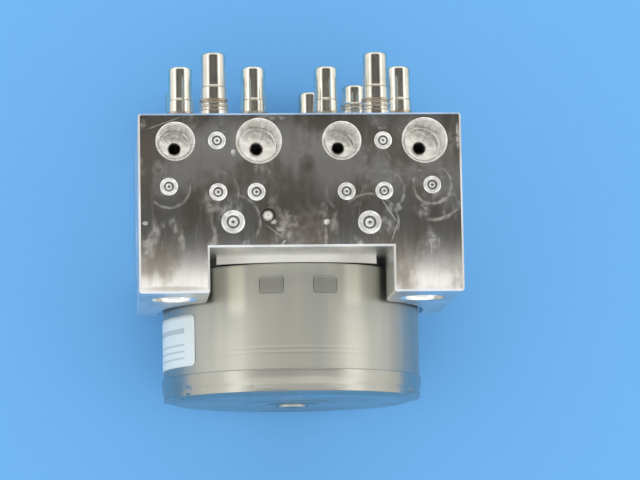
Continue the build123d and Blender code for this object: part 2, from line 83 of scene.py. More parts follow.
block_low, block_high = box("valve_block")
PORT_FACE = block_high[2]
VALVE_FACE = block_high[1]
can_low, can_high = box("motor_can")
CAN_R = (can_high[0] - can_low[0]) / 2
MOTOR_Z = (can_high[2] + can_low[2]) / 2
CAN_TOP = can_high[1]
UP = (0, 0, 1)
OUT = (0, 1, 0)
BACK = (0, -1, 0)
SIDES = (("left", -1), ("right", 1))  # name and sign of X
ROOT = "hydraulic_unit"
print("port face at", round(PORT_FACE / MM, 2), "mm, motor axis at", round(MOTOR_Z / MM, 2), "mm")

# %% [markdown]
# ## Turned and pressed surfaces
#
# Nearly every piece is turned or drawn round an axis. One function makes such a surface from its
# outline, with an optional rule that moves the wall in or out, as a press tool does to a thin can.
# A second one rounds the outline's corners with true arcs.

# %% Surfaces
GUARD = 0.15 * MM  # how far the extra points stand from a corner


def across(axis):
    """Two unit vectors that make a right-handed set with the axis."""
    n = np.array(axis, float)
    helper = np.array((1, 0, 0)) if abs(n[0]) < 0.5 else np.array((0, 1, 0))
    v = np.cross(n, helper)
    v /= np.linalg.norm(v)
    return np.cross(v, n), v


def turn_towards(axis, direction):
    """Turn angle round the axis at which a direction across it lies."""
    u, v = across(axis)
    return np.arctan2(v @ np.array(direction), u @ np.array(direction))


def rings_round(origin, axis, a, levels, radii):
    """Rings of points round an axis: a level along it for each ring, a radius for each ring and angle."""
    u, v = across(axis)
    spoke = np.cos(a)[:, None] * u + np.sin(a)[:, None] * v
    along = np.asarray(levels)[:, None, None] * np.array(axis, float)
    return np.array(origin) + along + np.asarray(radii)[:, :, None] * spoke


def mesh_object(name, points, faces, material, crease=30):
    """Object with its place in its mesh, smooth but for edges sharper than the crease angle."""
    mesh = bpy.data.meshes.new(name)
    mesh.from_pydata(np.asarray(points).tolist(), [], faces)
    mesh.validate()
    mesh.shade_smooth()
    mesh.set_sharp_from_angle(angle=radians(crease))
    mesh.materials.append(material)
    obj = bpy.data.objects.new(name, mesh)
    scene.collection.objects.link(obj)
    return obj


def skin(rings, start=None, end=None, wrap=False):
    """Points and faces over rings of points, one row a ring, whose columns close on themselves.

    start and end are single points that close the first and the last ring with a fan, and wrap
    joins the last ring to the first.
    """
    rows, columns = rings.shape[:2]
    i = np.arange(rows if wrap else rows - 1)[:, None] * columns
    above = (i + columns) % (rows * columns)
    j = np.arange(columns)
    right = (j + 1) % columns
    faces = np.stack([i + j, i + right, above + right, above + j], axis=-1).reshape(-1, 4).tolist()
    points = [rings.reshape(-1, 3)]
    for pole, ring, turn in ((start, 0, -1), (end, (rows - 1) * columns, 1)):
        if pole is not None:
            index = sum(len(part) for part in points)
            points.append(np.array(pole, float).reshape(1, 3))
            fan = np.stack([np.full(columns, index), ring + j, ring + right], axis=-1)
            faces += fan[:, ::turn].tolist()
    return np.concatenate(points), faces


def guarded(outline):
    """Outline with a point a little way in from both ends of each long stretch.

    Smooth shading blends the slopes that meet at a point over the whole face beside it. The extra
    points keep that blend within a narrow strip, so a straight wall mirrors as a straight wall.
    """
    points = [outline[0]]
    for start, end in zip(outline[:-1], outline[1:]):
        length = np.hypot(*(end - start))
        if length > 6 * GUARD:
            step = (end - start) / length * GUARD
            points += [start + step, end - step]
        points.append(end)
    return np.array(points)


def lathe(name, outline, origin, axis, material, around=96, angles=None, press=None, crease=30):
    """Surface turned from an outline of (radius, distance) points, listed with the solid on its left.

    A point (r, s) at the turn angle a lies at  origin + s n + (r + press(a, r, s)) (cos a u + sin a v),
    where n is the axis and u, v lie across it. An outline that begins or ends on the axis closes
    there, and one that ends where it began closes on itself.
    """
    outline = guarded(np.array(outline, float))
    n = np.array(axis, float)
    on_axis = outline[:, 0] < 1e-7
    poles = [np.array(origin) + outline[row, 1] * n if on_axis[row] else None for row in (0, -1)]
    wrap = not on_axis.any() and np.allclose(outline[0], outline[-1])
    r, s = (outline[:-1] if wrap else outline[~on_axis]).T
    a = np.arange(around) * tau / around if angles is None else np.asarray(angles)
    radius = np.repeat(r[:, None], len(a), axis=1)
    if press is not None:
        radius = radius + press(a[None, :], r[:, None], s[:, None])
    rings = rings_round(origin, axis, a, s, radius)
    return mesh_object(name, *skin(rings, *poles, wrap), material, crease)


def eased(outline, radii, steps=6):
    """Outline with some corners rounded: radii gives a radius for each corner's index.

    The arc meets both sides at r / tan(t) from the corner, where t is half the angle between them.
    """
    points = [np.array(point, float) for point in outline]
    result = []
    for i, corner in enumerate(points):
        if i not in radii:
            result.append(corner)
            continue
        before = points[i - 1] - corner
        after = points[(i + 1) % len(points)] - corner
        before /= np.linalg.norm(before)
        after /= np.linalg.norm(after)
        half = np.arccos(np.clip(before @ after, -1, 1)) / 2
        reach = radii[i] / np.tan(half)
        centre = corner + (before + after) / np.linalg.norm(before + after) * radii[i] / np.sin(half)
        start, end = corner + before * reach - centre, corner + after * reach - centre
        side = np.sign(start[0] * end[1] - start[1] * end[0])
        turn = side * (pi - 2 * half) * np.linspace(0, 1, steps + 1)
        arc = np.stack([
            start[0] * np.cos(turn) - start[1] * np.sin(turn),
            start[0] * np.sin(turn) + start[1] * np.cos(turn),
        ], axis=-1)
        result.extend(centre + arc)
    return np.array(result)


def smoothstep(low, high, value):
    """0 below low and 1 above high, with 3 t^2 - 2 t^3 between."""
    t = np.clip((value - low) / (high - low), 0, 1)
    return t * t * (3 - 2 * t)


def joined(objects, name):
    """Several meshes as one piece."""
    with bpy.context.temp_override(active_object=objects[0], selected_editable_objects=objects):
        bpy.ops.object.join()
    objects[0].name = name
    return objects[0]


def place(piece, node=None):
    """Makes a piece part of the unit: it rides on the unit, and the solid it stands for is hidden."""
    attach(piece, ROOT)
    if node is not None:
        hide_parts(node)
    return piece


# %% [markdown]
# ## Finishes
#
# Bare metal is never one even colour: it has fine lines, scratches and patches of film. Each finish
# is a small group of shader nodes that reads the object's own coordinates, with stretched noise for
# the lines and broad noise for the patches.

# %% Shader helpers
finishes = {}  # each finish by its name


def add(tree, kind, inputs=None, **settings):
    """New shader node.  inputs maps a socket's name or number to a value or to another socket."""
    made = tree.nodes.new("ShaderNode" + kind)
    for key, value in settings.items():
        setattr(made, key, value)
    for key, value in (inputs or {}).items():
        if isinstance(value, bpy.types.NodeSocket):
            tree.links.new(value, made.inputs[key])
        else:
            made.inputs[key].default_value = value
    return made


def math(operation, *values):
    """Result of a Math node, in the tree that its sockets belong to."""
    tree = next(value.id_data for value in values if isinstance(value, bpy.types.NodeSocket))
    return add(tree, "Math", dict(enumerate(values)), operation=operation).outputs[0]


def product(*values):
    """Product of several values."""
    return reduce(partial(math, "MULTIPLY"), values)


def total(*values):
    """Sum of several values."""
    return reduce(partial(math, "ADD"), values)


def strongest(*values):
    """Largest of several values."""
    return reduce(partial(math, "MAXIMUM"), values)


def away(value, middle):
    """Distance of a value from another."""
    return math("ABSOLUTE", math("SUBTRACT", value, middle))


def parts(vector):
    """The three parts of a vector."""
    return add(vector.id_data, "SeparateXYZ", {0: vector}).outputs


def remap(value, low, high, new_low=0, new_high=1):
    """Result of a smooth Map Range node."""
    made = add(
        value.id_data, "MapRange",
        {"Value": value, "From Min": low, "From Max": high, "To Min": new_low, "To Max": new_high},
        interpolation_type="SMOOTHSTEP",
    )
    return made.outputs[0]


def mix(factor, first, second):
    """Mix of two colours, each an (r, g, b) or a socket."""
    first, second = (c if isinstance(c, bpy.types.NodeSocket) else (*c, 1) for c in (first, second))
    inputs = {0: factor, 6: first, 7: second}
    return add(factor.id_data, "Mix", inputs, data_type="RGBA").outputs[2]


def noise(where, scale, stretch=(1, 1, 1), detail=3):
    """Value of a noise pattern, drawn out along the axes with a small stretch."""
    tree = where.id_data
    mapping = add(tree, "Mapping", {"Vector": where, "Scale": stretch})
    made = add(tree, "TexNoise", {"Vector": mapping.outputs[0], "Scale": scale, "Detail": detail})
    return made.outputs["Fac"]


def finish(name, colour, roughness, metallic=1):
    """New finish, kept under its name: (shader, socket of the object's coordinates)."""
    finishes[name] = bpy.data.materials.new(name)
    finishes[name].use_nodes = True
    tree = finishes[name].node_tree
    shader = tree.nodes["Principled BSDF"]
    shader.inputs["Base Color"].default_value = (*colour, 1)
    shader.inputs["Roughness"].default_value = roughness
    shader.inputs["Metallic"].default_value = metallic
    return shader, add(tree, "TexCoord").outputs["Object"]


def connect(shader, colour=None, roughness=None, height=None, depth=0.00002):
    """Puts worked-out values on the shader, the height as a bump that deep in metres."""
    tree = shader.id_data
    if colour is not None:
        tree.links.new(colour, shader.inputs["Base Color"])
    if roughness is not None:
        tree.links.new(roughness, shader.inputs["Roughness"])
    if height is not None:
        bump = add(tree, "Bump", {"Height": height, "Distance": depth, "Strength": 1})
        tree.links.new(bump.outputs[0], shader.inputs["Normal"])


def metal(name, colour, dark, roughness, lay=(1, 1, 1), line_scale=900, depth=0.000004):
    """Bare metal with fine lines along the axis whose lay is small, and patches of a darker film."""
    shader, where = finish(name, colour, roughness)
    lines = noise(where, line_scale, lay, 4)
    film = remap(noise(where, 55, detail=5), 0.4, 0.72)
    rough = total(product(lines, 0.14), roughness - 0.07, product(film, 0.08))
    connect(shader, mix(film, colour, dark), rough, lines, depth)


def plain(name, colour, dark, roughness, grain=700):
    """Moulded or pressed surface with a fine grain."""
    shader, where = finish(name, colour, roughness, 0)
    grains = noise(where, grain, detail=2)
    patches = noise(where, 40, detail=4)
    connect(shader, mix(patches, colour, dark), None, grains, 0.00001)


# %% [markdown]
# ## Machined aluminium
#
# The port face was fly cut almost to a mirror and then handled, so it has fine lines down its
# length, cloudy patches of film and a few long scratches. Round the plugs stand paler arcs where
# the seat cutter and the punch's guide have rubbed. The arcs and marks are drawn as distances from
# their centres, and only on the port face. The block's sides are milled and stay satin.

# %% Block finish
RUBBED_ARCS = [  # x, y, radius, width in mm, middle and half spread in degrees, how pale
    (39, -1.8, 5.7, 1.3, 270, 150, 0.34), (39, -1.8, 10.5, 1.4, 290, 22, 0.36),
    (24.7, -3.5, 5.9, 1.3, 20, 75, 0.28), (20.2, -12.9, 8.5, 1.1, 60, 75, 0.26),
    (-39, -1.9, 6.3, 1.1, -40, 95, 0.22), (-24.5, -3.6, 6, 1.1, 35, 55, 0.22),
    (-20.2, -12.5, 8, 1.1, 25, 60, 0.17), (-13.2, -3.6, 6, 1.1, 0, 60, 0.12),
    (13.5, -3.6, 6, 1.1, 180, 60, 0.12),
]
RUBBED_SPOTS = [  # x, y, half width, half height in mm, how pale
    (7.5, -12.8, 1, 0.9, 1), (6.4, -9.3, 1.4, 2.4, 0.16), (1.4, -13.8, 7.4, 7.6, 0.07),
    (7.1, -17.3, 0.5, 3.2, 0.3), (-20, 8.1, 0.8, 1.1, 0.8), (-20.7, 10.8, 0.5, 0.8, 0.35),
    (24.7, 15.3, 1.6, 0.4, 0.9), (-24.8, 15.2, 0.5, 0.4, 0.8), (-46.6, 16.6, 1, 1.8, 0.5),
    (-8.9, 18.4, 4.6, 1.1, 0.4), (-8.3, -12.6, 0.9, 0.7, 0.8), (-6.2, -14.8, 1.5, 0.7, 0.5),
    (46.9, 13, 0.6, 4.2, 0.6), (-46, -12.8, 0.9, 0.6, 0.6), (-45.9, -21.6, 0.7, 0.8, 0.6),
    (29, -8.6, 0.9, 0.9, 0.3), (31, 2, 17, 4.4, 0.16), (-29, 1.6, 17, 3.6, 0.09),
    (21, 6, 9, 5, 0.1), (-9, 7, 6, 9, 0.07), (14, 12, 6, 12, 0.06),
]
STAINS = [  # x, y, half width, half height in mm, how dark
    (1.9, 4.9, 2.6, 3, 0.5), (-37.6, -32.2, 9.4, 0.9, 0.45), (-11, 17.8, 5, 1.2, 0.25),
]
SCRATCHES = [  # x, y, length and turn from the X axis in degrees, width in mm, strength
    (-40.4, 17, 13.5, 20, 0.2, 0.5), (25.9, -9.3, 9.5, -57, 0.14, 0.45),
    (27.4, -16.2, 6.6, 71, 0.14, 0.4), (25.9, 7.3, 5, -59, 0.12, 0.35),
    (38.4, -21, 4.2, 90, 0.14, 0.55), (-5.4, -18.8, 1.8, 52, 0.22, 0.6),
    (-41.2, -19.5, 3.6, 90, 0.1, 0.4), (24, -1, 16, 96, 0.1, 0.12),
    (17.4, -8, 14, 84, 0.1, 0.12), (-8, -15.5, 7, -38, 0.12, 0.35),
    (-31, -15, 10, 80, 0.08, 0.1), (6, 2, 14, 84, 0.1, 0.12),
    (-44, -8, 12, 92, 0.08, 0.12), (43, 3, 15, 86, 0.08, 0.12),
]


def slanted(x, y, a, b, c):
    """Result of  a x + b y + c."""
    return math("MULTIPLY_ADD", x, a, math("MULTIPLY_ADD", y, b, c))


def squares(first, second):
    """Sum of two squares."""
    return math("MULTIPLY_ADD", first, first, math("MULTIPLY", second, second))


def arc_marks(x, y):
    """Pale arcs: near a circle, and within a spread of directions from its centre."""
    marks = []
    for cx, cy, radius, width, middle, spread, strength in RUBBED_ARCS:
        dx = math("SUBTRACT", x, cx * MM)
        dy = math("SUBTRACT", y, cy * MM)
        length = math("SQRT", squares(dx, dy))
        towards = slanted(dx, dy, cos(radians(middle)), sin(radians(middle)), 0)
        facing = math("DIVIDE", towards, length)
        edge = cos(radians(spread))
        within = remap(facing, edge - 0.12, edge + 0.12)
        near = remap(away(length, radius * MM), width * MM * 0.12, width * MM * 0.55, strength, 0)
        marks.append(product(near, within))
    return strongest(*marks)


def spot_marks(x, y, spots, inner=0.4, outer=1.4):
    """Soft patches, which fade as (x / half width)^2 + (y / half height)^2 grows."""
    marks = []
    for cx, cy, half_x, half_y, strength in spots:
        over_x = math("MULTIPLY_ADD", x, 1 / (half_x * MM), -cx / half_x)
        over_y = math("MULTIPLY_ADD", y, 1 / (half_y * MM), -cy / half_y)
        marks.append(remap(squares(over_x, over_y), inner, outer, strength, 0))
    return strongest(*marks)


def scratch_marks(x, y):
    """Thin straight lines that fade towards their ends, by the distance along and aside of each."""
    marks = []
    for cx, cy, length, turn, width, strength in SCRATCHES:
        c, s = cos(radians(turn)), sin(radians(turn))
        along = math("ABSOLUTE", slanted(x, y, c, s, -(cx * c + cy * s) * MM))
        aside = math("ABSOLUTE", slanted(x, y, -s, c, (cx * s - cy * c) * MM))
        lengthwise = remap(along, length * MM * 0.25, length * MM * 0.5, strength, 0)
        marks.append(product(lengthwise, remap(aside, width * MM * 0.3, width * MM, 1, 0)))
    return strongest(*marks)


def aluminium_block():
    """Finish of the valve block: a bright, handled port face and satin sides."""
    pale, film_colour = (0.7, 0.685, 0.655), (0.41, 0.37, 0.315)
    side_colour, side_dark = (0.82, 0.815, 0.8), (0.68, 0.67, 0.65)
    shader, where = finish("block_aluminium", pale, 0.24)
    x, y, z = parts(where)
    on_top = math("GREATER_THAN", z, PORT_FACE - 0.02 * MM)

    lines = noise(where, 1500, (1, 0.05, 0.05), 4)
    streaks = noise(where, 420, (1, 0.1, 0.1), 3)
    clouds = remap(noise(where, 70, (1, 0.7, 0.7), 6), 0.36, 0.66)
    film = remap(total(clouds, product(streaks, 0.9)), 0.45, 1.35)
    crumbs = remap(noise(where, 500, detail=3), 0.35, 0.62, 0.25, 1)

    smears = remap(noise(where, 210, (1, 0.45, 0.45), 6), 0.5, 0.72, 0, 0.3)
    rubbed = strongest(arc_marks(x, y), spot_marks(x, y, RUBBED_SPOTS), smears)
    rubbed = product(rubbed, crumbs, on_top)
    scratched = product(scratch_marks(x, y), on_top)
    stained = product(spot_marks(x, y, STAINS, 0, 1.3), on_top)

    face = mix(film, pale, film_colour)
    face = mix(stained, face, (0.26, 0.2, 0.15))
    face = mix(rubbed, face, (0.86, 0.85, 0.83))
    face = mix(scratched, face, (0.9, 0.89, 0.87))
    base = mix(on_top, mix(film, side_colour, side_dark), face)
    marked = product(strongest(rubbed, scratched), 0.35)
    top_rough = total(product(lines, 0.03), 0.03, product(film, 0.02), marked)
    side_rough = total(product(lines, 0.16), 0.26)
    off_top = math("SUBTRACT", 1, on_top)
    rough = total(product(top_rough, on_top), product(side_rough, off_top))
    height = math("SUBTRACT", product(lines, 0.3), total(rubbed, scratched))
    connect(shader, base, rough, height, 0.000003)


aluminium_block()
print("port face carries", len(RUBBED_ARCS), "arcs and", len(SCRATCHES), "scratches")

# %% [markdown]
# ## The other finishes
#
# Drawn steel keeps lines along the way it was drawn, so each lay follows the piece's own axis. The
# valve domes are drawn steel too, and the staked ring at their foot has brown lines from its heat.
# The motor can is dull from its zinc, with a faint yellow cast.

# %% Finishes by slot
WINDOW_X = (4.5 * MM, 11.8 * MM)
WINDOW_TOP, WINDOW_FOOT = CAN_TOP - 3.8 * MM, CAN_TOP - 9 * MM
# Painted highlights: pale bands near the can's top that stand in for reflections of the legs' inner walls.
CAN_PAINTED_HIGHLIGHTS = [(-18.6, 2.6, 17), (16.6, 2.6, 14)]  # x, half width and reach down the can in mm
LABEL_BARS = ((0.22, 0.03), (0.34, 0.03), (0.46, 0.03), (0.68, 0.09))  # start and width, as shares


def drawn_can():
    """Drawn, zinc plated sheet: streaks along it, faint rings, painted highlight bands and painted shade in the
    windows.
    """
    shader, where = finish("can_steel", (0.46, 0.455, 0.4), 0.4)
    x, y, z = parts(where)
    streaks = remap(noise(where, 75, (1, 0.1, 1), 3), 0.34, 0.66)
    rings = noise(where, 800, (0.04, 1, 0.04), 4)
    clouds = noise(where, 45, detail=4)
    from_middle = math("ABSOLUTE", x)
    on_upper_half = math("GREATER_THAN", z, MOTOR_Z)
    inside = product(
        math("GREATER_THAN", from_middle, WINDOW_X[0]), math("LESS_THAN", from_middle, WINDOW_X[1]),
        math("GREATER_THAN", y, WINDOW_FOOT), math("LESS_THAN", y, WINDOW_TOP), on_upper_half,
    )
    base = mix(streaks, (0.38, 0.385, 0.35), (0.5, 0.49, 0.43))
    base = mix(product(clouds, 0.5), base, (0.42, 0.43, 0.4))
    # Painted shade: the inside of the pressed windows is darkened in the base colour, where shade falls in the
    # recess.
    base = mix(product(inside, 0.35), base, (0.2, 0.205, 0.19))
    # Painted highlights: each band lightens the base colour, strongest near the can's top.
    for middle, half_width, foot in CAN_PAINTED_HIGHLIGHTS:
        across_band = remap(away(x, middle * MM), 0.4 * half_width * MM, 1.5 * half_width * MM, 0.62, 0)
        along_band = remap(y, CAN_TOP - foot * MM, CAN_TOP - 0.7 * foot * MM, 0.15, 1)
        base = mix(product(across_band, along_band, on_upper_half), base, (0.8, 0.775, 0.64))
    rough = total(product(clouds, 0.12), 0.34)
    connect(shader, base, rough, rings, 0.000004)


METALS = {  # colour, its film's, roughness, and the lines' lay, scale and depth where they differ
    "plug_steel": ((0.8, 0.79, 0.77), (0.66, 0.64, 0.61), 0.3),
    "cap_steel": ((0.45, 0.445, 0.4), (0.37, 0.37, 0.335), 0.24, (0.08, 1, 0.08), 700, 0.0000004),
    "flange_steel": ((0.86, 0.855, 0.82), (0.76, 0.75, 0.71), 0.36),
    "screw_steel": ((0.52, 0.52, 0.5), (0.38, 0.37, 0.35), 0.35),
    "contact_brass": ((0.75, 0.56, 0.27), (0.58, 0.4, 0.18), 0.28),
    "core_steel": ((0.3, 0.3, 0.31), (0.22, 0.21, 0.21), 0.5, (0.05, 1, 0.05), 1400),
    "copper": ((0.6, 0.24, 0.1), (0.42, 0.15, 0.06), 0.35),
    "bearing_steel": ((0.66, 0.66, 0.65), (0.56, 0.56, 0.55), 0.18),
    "bush_bronze": ((0.52, 0.34, 0.16), (0.38, 0.24, 0.11), 0.42),
    "spring_steel": ((0.48, 0.48, 0.47), (0.36, 0.36, 0.35), 0.3),
    "plug_bright": ((0.8, 0.79, 0.77), (0.66, 0.64, 0.61), 0.28),
}
MOULDED = {  # colour, second colour, roughness and grain
    "ferrite": ((0.1, 0.1, 0.11), (0.14, 0.14, 0.15), 0.75, 300),
    "moulding": ((0.022, 0.022, 0.024), (0.035, 0.034, 0.034), 0.5),
    "seal_rubber": ((0.018, 0.018, 0.018), (0.028, 0.028, 0.028), 0.6),
    "carbon": ((0.035, 0.034, 0.034), (0.06, 0.055, 0.05), 0.6, 900),
}
drawn_can()
for name, look in METALS.items():
    metal(name, *look)
for name, look in MOULDED.items():
    plain(name, *look)


def dome_steel(name, burnt_rings, colour=(0.78, 0.755, 0.655), dark=(0.68, 0.65, 0.55)):
    """Drawn dome steel with brown lines: each (distance from the valve face, half width, strength)."""
    shader, where = finish(name, colour, 0.2)
    y = parts(where)[1]
    lines = noise(where, 900, (1, 0.1, 1), 3)
    patches = remap(noise(where, 160, detail=4), 0.42, 0.7)
    grit = noise(where, 900, detail=3)
    burnt = strongest(*(
        remap(away(y, VALVE_FACE + middle * MM), 0.5 * half * MM, 1.4 * half * MM, strength, 0)
        for middle, half, strength in burnt_rings
    ))
    burnt = product(burnt, remap(grit, 0.35, 0.6, 0.45, 1))
    base = mix(burnt, mix(patches, colour, dark), (0.24, 0.17, 0.1))
    rough = total(product(burnt, 0.25), product(lines, 0.07), 0.09)
    height = total(product(lines, 0.05), product(burnt, grit))
    connect(shader, base, rough, height, 0.00004)


def label_paper():
    """White label with generic grey bars, which stand for its lines of print."""
    shader, where = finish("label_paper", (0.82, 0.82, 0.8), 0.35, 0)
    _, y, z = parts(where)
    low, high = box("motor_label")
    size = high - low
    bars = []
    for start, thick in LABEL_BARS:
        middle = low[1] + (start + thick / 2) * size[1]
        bars.append(math("LESS_THAN", away(y, middle), thick * size[1] / 2))
    from_end = math("LESS_THAN", z, high[2] - 0.1 * size[2])
    to_end = math("GREATER_THAN", z, low[2] + 0.15 * size[2])
    bars = product(strongest(*bars), from_end, to_end)
    fibres = noise(where, 500, detail=2)
    paper = mix(fibres, (0.78, 0.86, 0.86), (0.72, 0.8, 0.8))
    connect(shader, mix(bars, paper, (0.5, 0.57, 0.58)), None, fibres, 0.000004)


label_paper()
for entry in frame["record"]["subparts"]:  # the valves' own solids never show
    solid = nodes[entry["node"]]
    solid.data.materials.clear()
    solid.data.materials.append(finishes.get(entry["material_slot"], finishes["bearing_steel"]))
print(len(finishes), "finishes on", len(nodes), "solids")

# %% [markdown]
# ## Valve domes
#
# Each solenoid valve ends in a thin drawn dome over its moving core. The collar at its foot is
# turned, with grooves that the block's metal is staked into. A dome is one lathe surface: its
# outline starts on the axis below the face, climbs the steps and closes on the axis at the top,
# where a small arc rounds the drawn edge.

# %% Twelve domes
VALVE_EMBED = 6  # mm of each cartridge inside the block
CARTRIDGE_R, DOME_R = 4.45, 3.75
DOME_ARC = 0.9  # radius of the drawn edge
SHORT_RINGS = [(7.2, 0.75, 0.75), (5.6, 0.4, 0.65), (4.4, 0.25, 0.5), (11.65, 0.14, 0.55)]
TALL_RINGS = [(14.1, 0.55, 0.75), (12.9, 0.3, 0.65)]
TARNISHED = ((0.73, 0.7, 0.615), (0.61, 0.58, 0.5))
DOME_FINISH = {"isolating": "isolating_dome_steel", "priming": "tall_dome_steel"}
for name, *look in (
    ("dome_steel", SHORT_RINGS), ("isolating_dome_steel", SHORT_RINGS, *TARNISHED),
    ("tall_dome_steel", TALL_RINGS, *TARNISHED),
):
    dome_steel(name, *look)


def dome_outline(tall):
    """Outline of a valve in mm, from the foot of the cartridge to the top of the dome."""
    if tall:
        steps = [
            (CARTRIDGE_R, 6.2), (4.3, 6.4), (4.3, 11.4), (4.4, 11.6), (4.4, 12.5), (4.2, 12.7),
            (4.2, 13.4), (4.4, 13.6), (4.4, 14.5), (3.95, 14.8), (DOME_R, 15.1),
        ]
        top = 20.9
    else:
        steps = [
            (CARTRIDGE_R, 4.1), (4.2, 4.3), (4.2, 5.1), (4.42, 5.3), (4.42, 6.3), (4.15, 6.6),
            (4.15, 7), (4.35, 7.2), (4.35, 7.8), (3.95, 7.9), (3.95, 11.3), (3.7, 11.5),
            (3.7, 11.8), (DOME_R, 11.95),
        ]
        top = 22.1
    outline = [
        (0, -VALVE_EMBED), (CARTRIDGE_R, -VALVE_EMBED), (CARTRIDGE_R, -0.2), *steps,
        (DOME_R, top), (0, top),
    ]
    return eased(outline, {len(outline) - 2: DOME_ARC}) * MM


def valve_dome(name):
    """Visual piece of one valve cartridge, on the axis of its solid."""
    tall = name.startswith("priming")
    low, high = box(name)
    origin = ((low[0] + high[0]) / 2, VALVE_FACE, (low[2] + high[2]) / 2)
    steel = finishes[DOME_FINISH.get(name.split("_")[0], "dome_steel")]
    dome = lathe(name + "_dome", dome_outline(tall), origin, OUT, steel, around=72)
    place(dome, name)


valves = [name for name in nodes if "_valve_" in name]
for name in valves:
    valve_dome(name)
print(len(valves), "valve domes")

# %% [markdown]
# ## Pipe ports
#
# A brake pipe screws in with a union nut, so each port has a chamfered mouth, a fine thread and a
# cone at its foot that the pipe's flared end seals on, with the drilled passage in its middle. All
# of it was cut with a form tool and shines more than the face. A thin lining makes it, whose radius
# falls and rises once a pitch, shifted by one pitch each turn, which makes a true helix.

# %% Six tapped ports
PORTS = [  # x, y in mm on the port face, outer radius of the thread
    (-37, 11.6, 5), (-12.3, 11.6, 6), (12.3, 11.6, 5), (37, 11.6, 6),
]
LEG_PORT = (37.4, 80.4, 6)  # x, height and outer radius of the thread in mm
THREAD_PITCH, THREAD_DEPTH = 1, 0.4
THREAD_FROM, THREAD_TO = 1.1, 10.8
THREAD_FADE = 0.7  # mm over which the thread runs in and out
THREAD_RINGS = 8  # rings of points a pitch
CHAMFER = 0.85
SEAT_DEPTH = 11
PASSAGE_R, PASSAGE_EDGE = 1.55, 2  # radius, and how much of the passage the lining reaches into
LINING = 0.02  # mm the lining stands in from the block's own wall
PORT_COLUMNS = 72


def port_finish():
    """Cut metal that shines, with a soft fan of streaks from the tool, by the angle round each port."""
    shader, _ = finish("port_bright", (0.94, 0.93, 0.9), 0.12, 0.9)
    tree = shader.id_data
    share, level, _ = parts(add(tree, "UVMap").outputs[0])
    turn = math("MULTIPLY", share, tau)
    inputs = {0: math("COSINE", turn), 1: math("SINE", turn), 2: level}
    spoke = add(tree, "CombineXYZ", inputs).outputs[0]
    fan = noise(spoke, 2.6, (1, 1, 0.15), 4)
    shade = mix(remap(fan, 0.4, 0.66), (0.97, 0.96, 0.94), (0.87, 0.85, 0.81))
    rough = total(product(fan, 0.14), 0.06)
    connect(shader, shade, rough)


def port_lining(name, radius, mouth, axis):
    """Mouth, thread, seat and passage edge of a port whose mouth is at a point and faces along the axis.

    With s the depth and a the angle, the thread's radius is
    radius - depth (1 - |2 frac(s / pitch + a / tau) - 1|), and it fades in and out at its ends.
    """
    depth_of_rim = SEAT_DEPTH + radius - PASSAGE_R
    foot = depth_of_rim + PASSAGE_EDGE
    s = np.concatenate([
        [0, CHAMFER], np.arange(THREAD_FROM, THREAD_TO, THREAD_PITCH / THREAD_RINGS), [SEAT_DEPTH],
        np.linspace(SEAT_DEPTH, depth_of_rim, 8)[1:], [foot],
    ])
    a = np.arange(PORT_COLUMNS) * tau / PORT_COLUMNS
    bore = np.interp(
        s, [0, CHAMFER, SEAT_DEPTH, depth_of_rim, foot],
        [radius + CHAMFER, radius, radius, PASSAGE_R, PASSAGE_R],
    )
    phase = (s[:, None] / THREAD_PITCH + a[None, :] / tau) % 1
    running_in = smoothstep(THREAD_FROM, THREAD_FROM + THREAD_FADE, s)
    fade = running_in * smoothstep(THREAD_TO, THREAD_TO - THREAD_FADE, s)
    r = bore[:, None] - LINING - THREAD_DEPTH * fade[:, None] * (1 - np.abs(2 * phase - 1))
    rings = rings_round(mouth, axis, a, -s * MM, r * MM)
    lining = mesh_object(name, *skin(rings), finishes["port_bright"], 60)
    give_turn_uv(lining, len(a), s / depth_of_rim)
    return place(lining)


def give_turn_uv(piece, columns, levels):
    """UV map of a skin: the share of a turn across, and a level for each ring upwards."""
    mesh = piece.data
    layer = mesh.uv_layers.new(name="turn")
    corner = np.empty(len(mesh.loops), int)
    mesh.loops.foreach_get("vertex_index", corner)
    first = np.empty(len(mesh.polygons), int)
    count = np.empty(len(mesh.polygons), int)
    mesh.polygons.foreach_get("loop_start", first)
    mesh.polygons.foreach_get("loop_total", count)
    share = (corner % columns) / columns
    face_first = np.repeat(share[first], count)
    share = np.where(share - face_first > 0.5, share - 1, share)
    share = np.where(face_first - share > 0.5, share + 1, share)
    layer.data.foreach_set("uv", np.stack([share, np.asarray(levels)[corner // columns]], axis=-1).ravel())


port_finish()
for number, (x, y, radius) in enumerate(PORTS, 1):
    port_lining(f"port_lining_{number}", radius, (x * MM, y * MM, PORT_FACE), UP)
for side, sign in SIDES:
    mouth = (sign * LEG_PORT[0] * MM, block_low[1], LEG_PORT[1] * MM)
    port_lining(f"leg_port_lining_{side}", LEG_PORT[2], mouth, BACK)
print(len(PORTS) + 2, "tapped ports")

# %% [markdown]
# ## Expander plugs
#
# A drilled passage is closed with a short steel cup. A punch drives the middle in, the rim swells
# and bites into the bore. From above each one is a bright disc: a rounded rim, a groove at half
# its width and a dimple where the punch's nose stood.

# %% Ten plugs
SMALL_PLUGS = [
    (-24.7, 11.8), (24.6, 11.6), (-39, -1.9), (39, -1.8),
    (-24.5, -3.6), (24.7, -3.5), (-13.2, -3.6), (13.5, -3.6),
]
LARGE_PLUGS = [(-20.2, -12.5), (20.2, -12.9)]
SMALL_PLUG_R, LARGE_PLUG_R, PLUG_LENGTH = 2.65, 3.5, 4.5
SHADE_DEPTH = (0.34, 0.1)  # mm below the face where the painted shade is darkest, and where it starts
